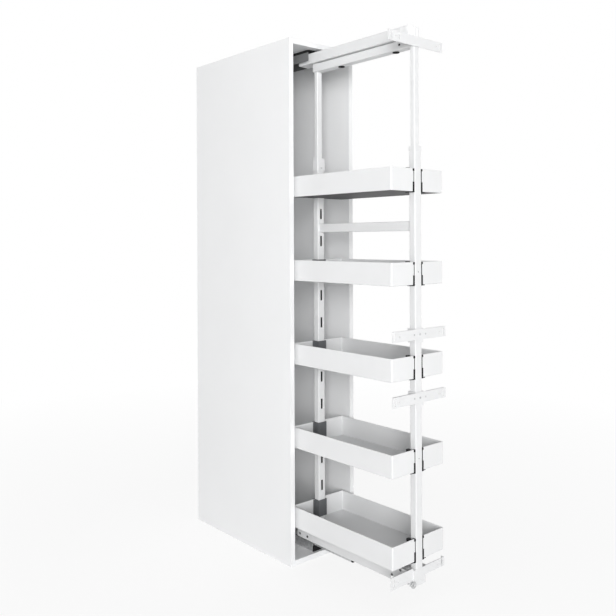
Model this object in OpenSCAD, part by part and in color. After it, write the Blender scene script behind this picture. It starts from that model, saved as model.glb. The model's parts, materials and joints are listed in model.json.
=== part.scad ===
// Pull out larder unit: a tall narrow carcass with a telescopic frame that
// carries five steel trays and four door brackets, drawn fully pulled out.
// The origin is the middle of the carcass underside, +Y points to its back.

/* [Carcass] */
// Outer width of the carcass
carcass_w = 300; // [290:5:400]
// Outer depth of the carcass
carcass_d = 580; // [570:5:650]
// Outer height of the carcass
carcass_h = 1805; // [1760:5:2100]
// Thickness of the side, top and bottom panels
panel_t = 18; // [16:1:20]
// Thickness of the back panel
back_t = 8; // [6:1:10]
// Distance from the back edges to the back panel
back_inset = 18; // [12:1:24]
// Depth of the grooves that hold the back panel
groove_depth = 8; // [6:1:10]
// Diameter of the panel dowels
dowel_d = 8; // [6:1:10]
// Length of the panel dowels
dowel_l = 30; // [26:1:34]

/* [Pull-out] */
// How far the pull-out travels from closed to fully open
travel = 445; // [430:5:450]
// Distance from the carcass top down to the underside of the frame's top tube
top_tube_drop = 96; // [96:1:120]
// Height of the upper uprights' sliding length inside the lower uprights
upright_overlap = 120; // [80:10:200]
// Height at which the lower uprights end
lower_upright_top = 1395; // [1360:5:1400]

/* [Uprights and tubes] */
// Width of a lower upright
upright_w = 30; // [28:1:34]
// Depth of a lower upright
upright_d = 24; // [22:1:28]
// Wall of every frame tube
tube_t = 1.5; // [1:0.25:2]
// Width of an upper upright
inner_w = 22; // [18:1:23]
// Depth of an upper upright
inner_d = 17; // [14:1:18]
// Height of the frame's top tube
top_tube_h = 29; // [26:1:32]
// Width of the hooking slots in the rear upright
slot_w = 8.6; // [7:0.2:10]
// Height of the hooking slots
slot_h = 36; // [32:1:40]
// Height of the cross brace
brace_h = 30; // [24:1:36]
// Thickness of the cross brace
brace_w = 15; // [12:1:20]
// Height of the cross brace's lower edge above the ground
brace_z = 1141; // [1120:1:1160]

/* [Trays] */
// Width of a tray
tray_w = 240; // [230:2:260]
// Length of a tray, front to back
tray_l = 467; // [455:1:470]
// Height of a tray's walls
tray_h = 71; // [66:1:76]
// Sheet thickness of a tray
tray_t = 1.5; // [1:0.25:2]
// Outer corner radius of a tray
tray_r = 4; // [2:0.5:6]
// Height of the folded hem along a tray's rim
hem_h = 7; // [5:1:10]
// Height of the lowest tray's floor above the ground
tray_base_z = 110; // [108:1:114]
// Vertical distance from tray to tray, three hooking steps
tray_pitch = 288; // [282:3:300]
// How much higher than that spacing the lowest tray hangs, to clear the runner
lowest_tray_lift = 14; // [0:1:20]

/* [Door brackets] */
// Width of a door plate
plate_w = 250; // [220:2:252]
// Height of a door plate
plate_h = 32; // [28:1:36]
// Thickness of a door plate
plate_t = 2.5; // [2:0.25:2.5]
// Distance from a door screw slot to the plate's end
plate_slot_inset = 12; // [10:1:20]
// Height of a door screw slot
plate_slot_l = 22; // [14:1:22]
// Width of a door screw slot
plate_slot_w = 6; // [4.5:0.5:7]
// Distance from a round door screw hole to the plate's end
plate_hole_inset = 31; // [22:1:34]
// Diameter of a round door screw hole
plate_hole_d = 5; // [4:0.5:6]
// Height of the upper middle bracket's centre above the ground
upper_bracket_z = 822; // [815:1:900]
// Height of the lower middle bracket's centre above the ground
lower_bracket_z = 627; // [560:1:640]
// Distance that the top and bottom plates sit behind the middle plates
plate_set_back = 9; // [8:1:10]

/* [Runners] */
// Width of the bottom runner's fixed and pull-out rails
runner_w = 80; // [76:2:90]
// Length of the bottom runner's fixed rail
fixed_rail_l = 480; // [460:5:500]
// Length of the bottom runner's middle rail
middle_rail_l = 410; // [380:5:430]
// Length of the casting's arm in front of the bottom pull-out rail
arm_l = 81; // [76:1:90]
// How far both pull-out rails reach behind the rear upright
rail_tail = 64; // [60:1:70]
// Sheet thickness of the runner rails
rail_t = 2.5; // [2:0.25:3]
// Radius of the runner balls
ball_r = 2.75; // [2.5:0.05:2.9]
// Balls on each side of a ball cage
cage_balls = 8; // [4:1:10]
// Width of the frame's top rail
top_rail_w = 50; // [46:1:54]
// Height of the frame's top rail
top_rail_h = 36.5; // [34:0.5:38]
// Length of the fixed guide channel under the carcass top
guide_l = 500; // [480:5:510]
// Radius of the rollers in the guide channel
roller_r = 5; // [4.5:0.1:5.5]

/* [Hidden] */
$fn = 32;
tiny = 0.01;

// Planes of the carcass
front_y = -carcass_d / 2;
back_y = carcass_d / 2;
inner_w2 = carcass_w / 2 - panel_t;
ceiling_z = carcass_h - panel_t;
back_panel_y = back_y - back_inset - back_t;
dowel_play = 0.05;
dowel_rows = [front_y + 50, 0, back_panel_y - 50];
dowel_side_depth = 12;
wall_hole_r = 3;
wall_hole_pitch = 160;
wall_hole_drop = 60;

// Planes of the pull-out in its open place. The door's back lies on door_y.
door_y = front_y - travel;
top_tube_z = carcass_h - top_tube_drop;
tray_y = door_y + 7;
front_up_y = tray_y - 2;
front_up_back = front_up_y + upright_d;
tray_back = tray_y + tray_l;
rear_up_y = tray_back + 2 - upright_d;
rear_up_back = rear_up_y + upright_d;
end_plate_y = door_y + plate_set_back;

// Bottom runner, stacked upwards from the bottom panel
fixed_rail_h = 31;
fixed_rail_z = panel_t;
fixed_rail_y = front_y + 11;
pull_rail_z = fixed_rail_z + fixed_rail_h + 2;
pull_rail_h = 44.5;
pull_rail_top = pull_rail_z + pull_rail_h;
pull_rail_y = end_plate_y + arm_l;
pull_rail_l = rear_up_back + rail_tail - pull_rail_y;
middle_rail_y = fixed_rail_y + 39 - travel / 2;
middle_rail_z = fixed_rail_z + 23;
middle_rail_h = 38;
ball_gap = 4;
ball_play = 0.35;
ball_x = runner_w / 2 - rail_t - ball_gap / 2;
middle_w2 = ball_x - ball_gap / 2;
race_r = ball_r + ball_play;
outer_race_z = fixed_rail_z + fixed_rail_h - 3.5;
inner_race_z = pull_rail_z + 19;
cage_t = 1.2;
cage_h = 8;
cage_step = 24;
cage_l = cage_balls * cage_step;
pocket_play = 0.15;
outer_cage_y = fixed_rail_y + 24;
inner_cage_y = middle_rail_y + 32;
screw_r = 2.5;
screw_head_r = 4.5;
screw_head_h = 2.2;
screw_l = 13;
hex_socket_r = 1.6;
rail_screw_x = 18;

// Top guide and the frame's top rail
guide_t = 2;
guide_y = front_y + 30;
roller_play = 0.3;
roller_x = top_rail_w / 2 + roller_play + roller_r;
roller_wall_play = 0.7;
guide_w2 = roller_x + roller_r + roller_wall_play + guide_t;
guide_h = 39;
groove_h = 5;
groove_t = 1;
groove_drops = [3, 17, 29];
guide_screw_y = guide_y + 60;
roller_step = 40;
roller_h = 12;
roller_bore_play = 0.06;
roller_pin_r = 2;
roller_z = ceiling_z - guide_t - 12 - roller_h;
roller_front_y = guide_y + 18;
roller_rear_y = roller_front_y + roller_step;
top_rail_top = ceiling_z - 10.5;
top_rail_z = top_rail_top - top_rail_h;
top_rail_t = 1.5;
top_rail_lip = 16;
top_rail_back = rear_up_back + rail_tail;
end_block_l = 36;
end_block_y = end_plate_y + 10;
rib_count = 4;

// Frame
top_tube_top = top_tube_z + top_tube_h;
casting_top = 100;
casting_z = 49;
casting_w = 54;
arm_w2 = runner_w / 2 - 1;
arm_z = 82;
ear_x = -casting_w / 2 - 6;
ear_z = casting_z + 9;
ear_r = 8;
cover_y = front_up_y - 0.5;
disc_y = door_y + 0.5;
disc_t = 3.5;
adjuster_throw = 2;
adjuster_r = 10.5;
adjuster_pin_r = 4;
adjuster_play = 0.05;
upper_in = (upright_d - inner_d) / 2 + 1;
spacer_l = 24;
spacer_w = 20;
spacer_ys = [end_block_y + end_block_l + 20, rear_up_y];
frame_screw_r = 2.5;
frame_head_r = 4;
front_collar_wall = 1.2;
rear_collar_wall = 2.4;
cap_h = 8;
collar_top = lower_upright_top + cap_h;
front_collar_h = 14;
rear_collar_h = 44;
lug_w = 5;
lug_d = 18;
front_screw_z = collar_top - cap_h - 3;
rear_screw_z = collar_top - 34;
collar_screw_r = 2;
collar_head_r = 3.2;
collar_head_h = 1.6;
collar_play = 0.2;
slide_play = 0.25;
first_slot_z = tray_base_z + 22;
slot_pitch = tray_pitch / 3;
slot_count = floor((lower_upright_top - 40 - first_slot_z - slot_h) / slot_pitch) + 1;
slot_zs = [for (k = [0:slot_count - 1]) first_slot_z + k * slot_pitch + (k == 0 ? lowest_tray_lift : 0)];
brace_back = rear_up_y;
adjust_slot_l = 38;
adjust_slot_h = 7;
adjust_slot_rise = 1.5;
adjust_slot_y = end_plate_y + 44;
tongue_l = 56;
tongue_play = 0.5;
tongue_t = 2;
bottom_plate_z = casting_top - 15;
buffer_r = 11;
buffer_hole_r = 4;
buffer_h = 2.5;
buffer_step = 250;
buffer_set_back = 85;
buffer_y = end_plate_y + buffer_set_back;
buffer_ys = [buffer_y, buffer_y + buffer_step];
dot_hole_r = 2;
dot_hole_rise = 40;

// Trays and their clips
tray_zs = [for (k = [4:-1:0]) tray_base_z + k * tray_pitch + (k == 0 ? lowest_tray_lift : 0)];
clip_play = 0.4;
front_notch_w2 = upright_w / 2 + 7.6;
front_gap_w2 = upright_w / 2 + 2.5;
notch_low = 30;
notch_high = tray_h - 8;
clip_top = tray_h - 0.4;
saddle_top = tray_h - 14;
flange_w2 = front_notch_w2 + 14;
knob_x = front_notch_w2 + 3;
knob_w = 9;
foot_h = 2.5;
rear_clip_wall = 3;
rear_clip_z = 14;
rear_clip_top = tray_h;
rear_flange_w2 = upright_w / 2 + 10.5;
rear_flange_t = 2;
rear_clip_back = tray_back + 8;
clip_grip = 1.6;
rear_notch_w2 = upright_w / 2 + clip_play + rear_clip_wall - clip_grip;
tongue_h = 24;

// Door brackets
clamp_wall = 4;
clamp_h = 44;
clamp_play = 0.3;
clamp_drop = 4;
rim_h = 4;
rim_l = 84;
rim_x = (plate_w - rim_l) / 2 - 7;
plate_rivet_x = 26;

// Extrudes an X-Z outline along Y
module along_y(y0, y1) {
    translate([0, y1, 0]) rotate([90, 0, 0]) linear_extrude(y1 - y0) children();
}

// Extrudes a Y-Z outline along X
module along_x(x0, x1) {
    translate([x0, 0, 0]) rotate([90, 0, 90]) linear_extrude(x1 - x0) children();
}

// Outline of a rectangle with round corners, centred
module round_rect(w, d, r) {
    square([w - 2 * r, d], center = true);
    square([w, d - 2 * r], center = true);
    for (sx = [-1, 1], sy = [-1, 1])
        translate([sx * (w / 2 - r), sy * (d / 2 - r)]) circle(r);
}

// Outline of a slot with round ends, centred, long along the first axis
module slot_shape(l, w) {
    square([l - w, w], center = true);
    for (s = [-1, 1]) translate([s * (l - w) / 2, 0]) circle(w / 2);
}

// A box from x0 to x1 and so on
module block(x0, x1, y0, y1, z0, z1) {
    translate([x0, y0, z0]) cube([x1 - x0, y1 - y0, z1 - z0]);
}

// A vertical rectangular tube, given its outline's front face
module upright_tube(w, d, y0, z0, z1) {
    translate([0, y0 + d / 2, z0]) linear_extrude(z1 - z0) difference() {
        round_rect(w, d, 2 * tube_t);
        round_rect(w - 2 * tube_t, d - 2 * tube_t, tube_t);
    }
}

// ---- Carcass ----

module dowel_holes_x(side) {
    for (y = dowel_rows, z = [panel_t / 2, carcass_h - panel_t / 2])
        translate([side * (inner_w2 - tiny), y, z]) rotate([0, side * 90, 0])
            cylinder(r = dowel_d / 2 + dowel_play, h = dowel_side_depth + tiny);
}

module side_panel(side) {
    x0 = side > 0 ? inner_w2 : -carcass_w / 2;
    difference() {
        block(x0, x0 + panel_t, front_y, back_y, 0, carcass_h);
        block(side * inner_w2 - groove_depth, side * inner_w2 + groove_depth,
              back_panel_y - 0.1, back_panel_y + back_t + 0.1, -1, carcass_h + 1);
        dowel_holes_x(side);
    }
}

module left_side_panel() {
    color("#f4f4f4") side_panel(-1);
}

module right_side_panel() {
    color("#f4f4f4") side_panel(1);
}

// A panel between the sides, with blind dowel holes in its two ends
module cross_panel(z0) {
    difference() {
        block(-inner_w2, inner_w2, front_y, back_panel_y, z0, z0 + panel_t);
        for (y = dowel_rows, side = [-1, 1])
            translate([side * (inner_w2 + tiny), y, z0 + panel_t / 2]) rotate([0, -side * 90, 0])
                cylinder(r = dowel_d / 2 + dowel_play, h = dowel_l - dowel_side_depth + 1);
    }
}

module screw_positions(y0, y1) {
    for (x = [-rail_screw_x, rail_screw_x], y = [y0 + 40, y0 + (y1 - y0) / 2, y1 - 40])
        translate([x, y, 0]) children();
}

module top_panel() {
    color("#f4f4f4") difference() {
        cross_panel(ceiling_z);
        screw_positions(guide_screw_y, guide_y + guide_l)
            translate([0, 0, ceiling_z - 1]) cylinder(r = screw_r + 0.1, h = screw_l + 1);
    }
}

module bottom_panel() {
    color("#f4f4f4") difference() {
        cross_panel(0);
        screw_positions(fixed_rail_y, fixed_rail_y + fixed_rail_l)
            translate([0, 0, panel_t - screw_l]) cylinder(r = screw_r + 0.1, h = screw_l + 1);
    }
}

module back_panel() {
    color("#eeeeee") difference() {
        block(-inner_w2 - groove_depth + 1, inner_w2 + groove_depth - 1,
              back_panel_y, back_panel_y + back_t, 0, carcass_h);
        for (s = [-1, 1])
            translate([s * wall_hole_pitch / 2, back_panel_y - 1, ceiling_z - wall_hole_drop])
                rotate([-90, 0, 0]) cylinder(r = wall_hole_r, h = back_t + 2);
    }
}

module panel_dowels() {
    color("#d8b98a")
    for (y = dowel_rows, z = [panel_t / 2, carcass_h - panel_t / 2], side = [-1, 1])
        translate([side * (inner_w2 + dowel_side_depth - 0.5), y, z]) rotate([0, -side * 90, 0])
            cylinder(r = dowel_d / 2, h = dowel_l);
}

// ---- Top guide ----

module roller_places() {
    for (side = [-1, 1], y = [roller_front_y, roller_rear_y])
        translate([side * roller_x, y, 0]) children();
}

// Inverted channel under the top panel, with rolled grooves along its sides and a hole for
// each roller pin and screw
module top_guide_channel() {
    color("#6b6e70") difference() {
        along_y(guide_y, guide_y + guide_l) difference() {
            translate([-guide_w2, ceiling_z - guide_h]) square([2 * guide_w2, guide_h]);
            translate([-guide_w2 + guide_t, ceiling_z - guide_h - 1])
                square([2 * (guide_w2 - guide_t), guide_h - guide_t + 1]);
            for (s = [-1, 1], drop = groove_drops)
                translate([s * guide_w2 - groove_t, ceiling_z - drop - groove_h])
                    square([2 * groove_t, groove_h]);
        }
        roller_places()
            translate([0, 0, ceiling_z - guide_t - 1]) cylinder(r = roller_pin_r + 0.02, h = guide_t + 2);
        screw_positions(guide_screw_y, guide_y + guide_l)
            translate([0, 0, ceiling_z - guide_t - 1]) cylinder(r = screw_r + 0.2, h = guide_t + 2);
    }
}

module guide_roller_pins() {
    color("#b8bbbd") roller_places() {
        translate([0, 0, roller_z - 1.5]) cylinder(r = roller_pin_r, h = ceiling_z - roller_z + 1.5);
        translate([0, 0, roller_z - 2.5]) cylinder(r = roller_pin_r + 1.5, h = 1.2);
        translate([0, 0, roller_z + roller_h + 0.3])
            cylinder(r = roller_pin_r + 1.2, h = ceiling_z - guide_t - roller_z - roller_h - 0.3);
    }
}

module guide_roller(side, y) {
    color("#e8e8e8") translate([side * roller_x, y, roller_z]) difference() {
        cylinder(r = roller_r, h = roller_h);
        translate([0, 0, -1]) cylinder(r = roller_pin_r + roller_bore_play, h = roller_h + 2);
    }
}

// ---- Bottom runner ----

// Channel outline: dir is 1 when the channel opens upwards and -1 downwards
module channel(w2, z0, h, dir, t) {
    difference() {
        translate([-w2, z0]) square([2 * w2, h]);
        translate([-w2 + t, dir > 0 ? z0 + t : z0 - 1]) square([2 * (w2 - t), h - t + 1]);
    }
}

// Ball races along both sides of the runner
module races(z, y0, y1) {
    for (s = [-1, 1])
        translate([s * ball_x, y1 + 1, z]) rotate([90, 0, 0]) cylinder(r = race_r, h = y1 - y0 + 2);
}

module bottom_fixed_rail() {
    y1 = fixed_rail_y + fixed_rail_l;
    color("#b4b7b9") difference() {
        along_y(fixed_rail_y + 3, y1) channel(runner_w / 2, fixed_rail_z, fixed_rail_h, 1, rail_t);
        races(outer_race_z, fixed_rail_y + 3, y1);
        screw_positions(fixed_rail_y, y1)
            translate([0, 0, fixed_rail_z - 1]) cylinder(r = screw_r + 0.2, h = rail_t + 2);
    }
}

// Black cap over the front end of the fixed rail, open where the middle rail passes
module bottom_rail_cap() {
    w2 = runner_w / 2;
    slot_z = middle_rail_z - 3;
    color("#1c1c1c") difference() {
        block(-w2, w2, fixed_rail_y, fixed_rail_y + 3, fixed_rail_z, fixed_rail_z + fixed_rail_h);
        block(-ball_x - 5, ball_x + 5, fixed_rail_y - 1, fixed_rail_y + 4,
              slot_z, fixed_rail_z + fixed_rail_h + 1);
    }
}

module screw(z, up) {
    translate([0, 0, z]) rotate([up ? 0 : 180, 0, 0]) {
        cylinder(r = screw_r, h = screw_l - 1);
        translate([0, 0, -screw_head_h]) difference() {
            cylinder(r = screw_head_r, h = screw_head_h);
            translate([0, 0, -tiny]) cylinder(r = 1.6, h = 1.2);
        }
    }
}

module rail_screws() {
    color("#b8bbbd") {
        screw_positions(guide_screw_y, guide_y + guide_l) screw(ceiling_z - guide_t, true);
        screw_positions(fixed_rail_y, fixed_rail_y + fixed_rail_l) screw(fixed_rail_z + rail_t, false);
    }
}

module ball_places(y0, z) {
    for (s = [-1, 1], k = [0:cage_balls - 1])
        translate([s * ball_x, y0 + (k + 0.5) * cage_step, z]) children();
}

// One strip on each side of the runner, with a pocket for every ball
module ball_cages(y0, z) {
    difference() {
        for (s = [-1, 1])
            block(s * ball_x - cage_t / 2, s * ball_x + cage_t / 2, y0, y0 + cage_l,
                  z - cage_h / 2, z + cage_h / 2);
        ball_places(y0, z) rotate([0, 90, 0])
            cylinder(r = ball_r + pocket_play, h = 2 * cage_t, center = true);
    }
}

module outer_ball_cages() {
    color("#c9ccce") ball_cages(outer_cage_y, outer_race_z);
}

module outer_balls() {
    color("#d6d8da") ball_places(outer_cage_y, outer_race_z) sphere(r = ball_r);
}

module inner_ball_cages() {
    color("#c9ccce") ball_cages(inner_cage_y, inner_race_z);
}

module inner_balls() {
    color("#d6d8da") ball_places(inner_cage_y, inner_race_z) sphere(r = ball_r);
}

module bottom_middle_rail() {
    y1 = middle_rail_y + middle_rail_l;
    color("#a4a7a9") difference() {
        along_y(middle_rail_y, y1) channel(middle_w2, middle_rail_z, middle_rail_h, -1, 2);
        races(outer_race_z, middle_rail_y, y1);
        races(inner_race_z, middle_rail_y, y1);
    }
}

// Rubber stop on the front end of the middle rail
module middle_rail_stop() {
    color("#141414") block(-middle_w2, middle_w2, middle_rail_y - 8, middle_rail_y,
                           middle_rail_z, middle_rail_z + middle_rail_h);
}

module bottom_pull_out_rail() {
    y1 = pull_rail_y + pull_rail_l;
    color("#e2e3e4") difference() {
        along_y(pull_rail_y, y1) channel(runner_w / 2, pull_rail_z, pull_rail_h, -1, rail_t);
        races(inner_race_z, pull_rail_y, y1);
        rail_side_screws() cylinder(r = frame_screw_r, h = rail_t + 1);
    }
}

// Screws in the rail's sides behind the rear upright; children point outwards
module rail_side_screws() {
    for (y = [rear_up_back + 10, rear_up_back + 50], s = [-1, 1])
        translate([s * (runner_w / 2 - rail_t - 0.5), y, pull_rail_z + 12])
            rotate([0, s * 90, 0]) children();
}

// ---- Frame ----

module front_lower_upright() {
    color("#f0f1f2") difference() {
        upright_tube(upright_w, upright_d, front_up_y, casting_top, lower_upright_top);
        for (k = [1, 3])
            translate([0, front_up_y - 1, tray_zs[k] + dot_hole_rise]) rotate([-90, 0, 0])
                cylinder(r = dot_hole_r, h = tube_t + 2);
    }
}

// The rear upright has the hooking slots for the trays in its front face
module rear_lower_upright() {
    color("#f0f1f2") difference() {
        upright_tube(upright_w, upright_d, rear_up_y, pull_rail_top, lower_upright_top);
        for (z = slot_zs)
            translate([-slot_w / 2, rear_up_y - 1, z]) cube([slot_w, tube_t + 2, slot_h]);
    }
}

module upper_upright(y0) {
    color("#f0f1f2")
        upright_tube(inner_w, inner_d, y0 + upper_in, lower_upright_top - upright_overlap, top_tube_z);
}

module front_upper_upright() {
    upper_upright(front_up_y);
}

module rear_upper_upright() {
    upper_upright(rear_up_y);
}

// Collar over the end of a lower upright. Its screw is at height screw_z, on the front
// where side is -1 and on the back where it is 1
module collar(y0, h, wall, screw_z, side) {
    w = upright_w + 2 * (collar_play + wall);
    d = upright_d + 2 * (collar_play + wall);
    yc = y0 + upright_d / 2;
    difference() {
        union() {
            translate([0, yc, collar_top - h]) linear_extrude(h) round_rect(w, d, 4);
            children();
        }
        translate([0, yc, collar_top - h - 1]) linear_extrude(h - cap_h + 1)
            round_rect(upright_w + 2 * collar_play, upright_d + 2 * collar_play, 3);
        translate([0, y0 + upper_in + inner_d / 2, lower_upright_top - 1]) linear_extrude(2 * cap_h)
            round_rect(inner_w + 2 * slide_play, inner_d + 2 * slide_play, 3);
        translate([0, yc + side * (d / 2 + 1), screw_z]) rotate([side * 90, 0, 0])
            cylinder(r = collar_screw_r, h = wall + 2);
    }
}

module front_collar() {
    color("#e6e7e8") collar(front_up_y, front_collar_h, front_collar_wall, front_screw_z, 1);
}

// The rear collar is longer and has a lug on its right
module rear_collar() {
    x = upright_w / 2 + collar_play + rear_collar_wall;
    yc = rear_up_y + upright_d / 2;
    color("#e6e7e8") collar(rear_up_y, rear_collar_h, rear_collar_wall, rear_screw_z, -1)
        block(x - 2, x + lug_w, yc - lug_d / 2, yc + lug_d / 2, collar_top - rear_collar_h, collar_top - 12);
}

// Screw whose point stands on the upright and whose head stands on a collar's outside
module collar_screw(y, z, wall, side) {
    translate([0, y, z]) rotate([side * 90, 0, 0]) difference() {
        union() {
            cylinder(r = collar_screw_r, h = wall + collar_play);
            translate([0, 0, -collar_head_h]) cylinder(r = collar_head_r, h = collar_head_h);
        }
        translate([0, 0, -collar_head_h - tiny]) cylinder(r = 1.3, h = 1.4);
    }
}

module collar_screws() {
    front_out = front_up_back + collar_play + front_collar_wall;
    rear_out = rear_up_y - collar_play - rear_collar_wall;
    color("#6a6d70") {
        collar_screw(front_out, front_screw_z, front_collar_wall, 1);
        collar_screw(rear_out, rear_screw_z, rear_collar_wall, -1);
    }
}

module cross_brace() {
    color("#f0f1f2") along_y(front_up_back, rear_up_y) translate([0, brace_z + brace_h / 2]) difference() {
        round_rect(brace_w, brace_h, 2);
        round_rect(brace_w - 2 * tube_t, brace_h - 2 * tube_t, 1);
    }
}

module frame_top_tube() {
    zc = top_tube_z + top_tube_h / 2;
    color("#f0f1f2") difference() {
        along_y(end_plate_y + plate_t, rear_up_back) translate([0, zc]) difference() {
            round_rect(upright_w, top_tube_h, 2 * tube_t);
            round_rect(upright_w - 2 * tube_t, top_tube_h - 2 * tube_t, tube_t);
        }
        along_x(-upright_w, upright_w)
            translate([adjust_slot_y, zc + adjust_slot_rise]) slot_shape(adjust_slot_l, adjust_slot_h);
    }
}

// Roll-formed rail, open in a slot along its top, on two spacers
module top_pull_out_rail() {
    color("#ededee") along_y(end_block_y + end_block_l, top_rail_back) difference() {
        translate([0, top_rail_z + top_rail_h / 2]) round_rect(top_rail_w, top_rail_h, 2.5);
        translate([0, top_rail_z + top_rail_h / 2])
            round_rect(top_rail_w - 2 * top_rail_t, top_rail_h - 2 * top_rail_t, 1);
        translate([-top_rail_w / 2 + top_rail_lip, top_rail_top - 3])
            square([top_rail_w - 2 * top_rail_lip, 5]);
    }
    color("#ededee") for (y = spacer_ys)
        block(-spacer_w / 2, spacer_w / 2, y, y + spacer_l, top_tube_top, top_rail_z + top_rail_t / 2);
}

// Moulded block with upright ribs across its front
module top_end_block() {
    rib_step = top_rail_w / rib_count;
    plug_w = top_rail_w - 2 * top_rail_t - 0.6;
    plug_h = top_rail_h - 2 * top_rail_t - 6;
    color("#e9eaeb") difference() {
        union() {
            along_y(end_block_y + 2, end_block_y + end_block_l)
                translate([0, top_rail_z + top_rail_h / 2]) round_rect(top_rail_w, top_rail_h, 2.5);
            along_y(end_block_y + end_block_l - 1, end_block_y + end_block_l + 18)
                translate([0, top_rail_z + top_rail_h / 2 - 1]) square([plug_w, plug_h], center = true);
            for (k = [0:rib_count - 1])
                translate([-top_rail_w / 2 + (k + 0.25) * rib_step, end_block_y, top_rail_z + 2])
                    cube([rib_step / 2, 4, top_rail_h - 4]);
        }
        translate([-top_rail_w / 2 + 8, end_block_y + 8, top_rail_top - 8])
            cube([top_rail_w - 16, end_block_l - 14, 10]);
    }
}

// Upright slots that let the door be set in height, and round holes that then fix it
module door_slots(y, z) {
    for (s = [-1, 1]) {
        translate([s * (plate_w / 2 - plate_slot_inset), y + plate_t + 1, z]) rotate([90, 90, 0])
            linear_extrude(plate_t + 2) slot_shape(plate_slot_l, plate_slot_w);
        translate([s * (plate_w / 2 - plate_hole_inset), y - 1, z]) rotate([-90, 0, 0])
            cylinder(r = plate_hole_d / 2, h = plate_t + 2);
    }
}

// Tongue that slides in the top tube to set the plate's depth
module tongue_shape(inset) {
    gap = tube_t + tongue_play + inset;
    round_rect(upright_w - 2 * gap, top_tube_h - 2 * gap, 1);
}

module top_door_plate() {
    z = top_tube_z + 1.5 + plate_h / 2;
    y = end_plate_y;
    color("#ebecec") difference() {
        union() {
            block(-plate_w / 2, plate_w / 2, y, y + plate_t, z - plate_h / 2, z + plate_h / 2);
            block(-plate_w / 2, plate_w / 2, y, y + plate_t + rim_h, z + plate_h / 2 - 2, z + plate_h / 2);
            block(-plate_w / 2, -plate_w / 2 + 2, y, y + plate_t + rim_h, z - plate_h / 2, z + plate_h / 2);
            along_y(y + 1, y + tongue_l) translate([0, top_tube_z + top_tube_h / 2]) difference() {
                tongue_shape(0);
                tongue_shape(tongue_t);
            }
        }
        door_slots(y, z);
        translate([-plate_w / 2 + 45, y - 1, z - 6]) cube([4, plate_t + 2, 12]);
    }
}

// Two wings with a cover over the casting between them, the right end bent back
module bottom_door_plate() {
    y = end_plate_y;
    w2 = plate_w / 2;
    c2 = casting_w / 2;
    z0 = bottom_plate_z - 13.5;
    z1 = bottom_plate_z + 13.5;
    color("#ebecec") difference() {
        union() {
            block(-w2, -c2 + 2, y, y + plate_t, casting_top - 33, casting_top + 5);
            block(c2 - 2, w2, y, y + plate_t, z0, z1);
            block(w2 - 2, w2, y, y + plate_t + 10, z0, z1);
            block(-c2, c2, cover_y, cover_y + plate_t, casting_z, casting_top);
            for (s = [-1, 1])
                block(s * (c2 - 1) - 1, s * (c2 - 1) + 1, cover_y, y + plate_t, casting_z, casting_top);
        }
        door_slots(y, bottom_plate_z);
    }
}

// Casting that joins the front upright, the pull-out rail and the bottom door plate
module bottom_bracket_casting() {
    c2 = casting_w / 2;
    yb = end_plate_y + plate_t;
    color("#dcddde") difference() {
        union() {
            block(-c2, c2, yb, end_plate_y + 26, casting_z, casting_top);
            block(-c2 + 2, c2 - 2, cover_y + plate_t, yb, casting_z, casting_top);
            translate([ear_x, yb, ear_z]) rotate([-90, 0, 0]) cylinder(r = ear_r, h = 2.4);
            block(ear_x, -c2 + 1, yb, yb + 2.4, ear_z - ear_r, ear_z + ear_r);
            block(-arm_w2, arm_w2, yb, pull_rail_y, arm_z, casting_top - 2);
            for (s = [-1, 1])
                block(s * (arm_w2 - 2.2) - 2.2, s * (arm_w2 - 2.2) + 2.2, end_plate_y + 16, pull_rail_y,
                      pull_rail_z + 10, arm_z + 1);
            block(-middle_w2 + 2, middle_w2 - 2, pull_rail_y - 1, pull_rail_y + 40,
                  middle_rail_z + middle_rail_h + 3, pull_rail_top - rail_t);
        }
        translate([ear_x, yb - 1, ear_z]) rotate([-90, 0, 0])
            cylinder(r = adjuster_pin_r + adjuster_play, h = 5);
        block(-12, 12, end_plate_y + 34, pull_rail_y - 12, casting_z, casting_top + 1);
        casting_screws() cylinder(r = frame_screw_r, h = 12, center = true);
    }
}

// Screws in the sides of the casting's arm; children point outwards
module casting_screws() {
    foot = [pull_rail_y - 6, pull_rail_z + 15];
    for (c = [foot, [end_plate_y + 40, arm_z + 9], [end_plate_y + 13, arm_z + 8]], s = [-1, 1])
        translate([s * (arm_w2 - 4), c[0], c[1]]) rotate([0, s * 90, 0]) children();
}

// Eccentric disc on a pin in the casting's ear, turned with a key to tilt the door
module tilt_adjuster() {
    color("#d0d1d2") translate([ear_x, disc_y, ear_z]) rotate([-90, 0, 0]) difference() {
        union() {
            translate([adjuster_throw, 0, 0]) cylinder(r = adjuster_r, h = disc_t);
            cylinder(r = adjuster_pin_r, h = end_plate_y + plate_t + 3 - disc_y);
        }
        translate([0, 0, -1]) cylinder(r = 2.5, h = 4, $fn = 6);
    }
}

// Rubber rings on the underside of the top tube
module top_tube_buffers() {
    color("#161616") for (y = buffer_ys) translate([0, y, top_tube_z - buffer_h]) difference() {
        cylinder(r = buffer_r, h = buffer_h);
        translate([0, 0, -1]) cylinder(r = buffer_hole_r, h = buffer_h + 2);
    }
}

// Round-headed screws in the casting's arm and in the sides of the pull-out rail
module frame_screws() {
    color("#8d9092") {
        rail_side_screws() frame_screw(rail_t + 0.5);
        casting_screws() frame_screw(4);
    }
}

module frame_screw(l) {
    cylinder(r = frame_screw_r, h = l);
    translate([0, 0, l]) difference() {
        cylinder(r = frame_head_r, h = 1.8);
        translate([0, 0, 0.6]) cylinder(r = hex_socket_r, h = 2);
    }
}

// ---- Middle door brackets ----

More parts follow.
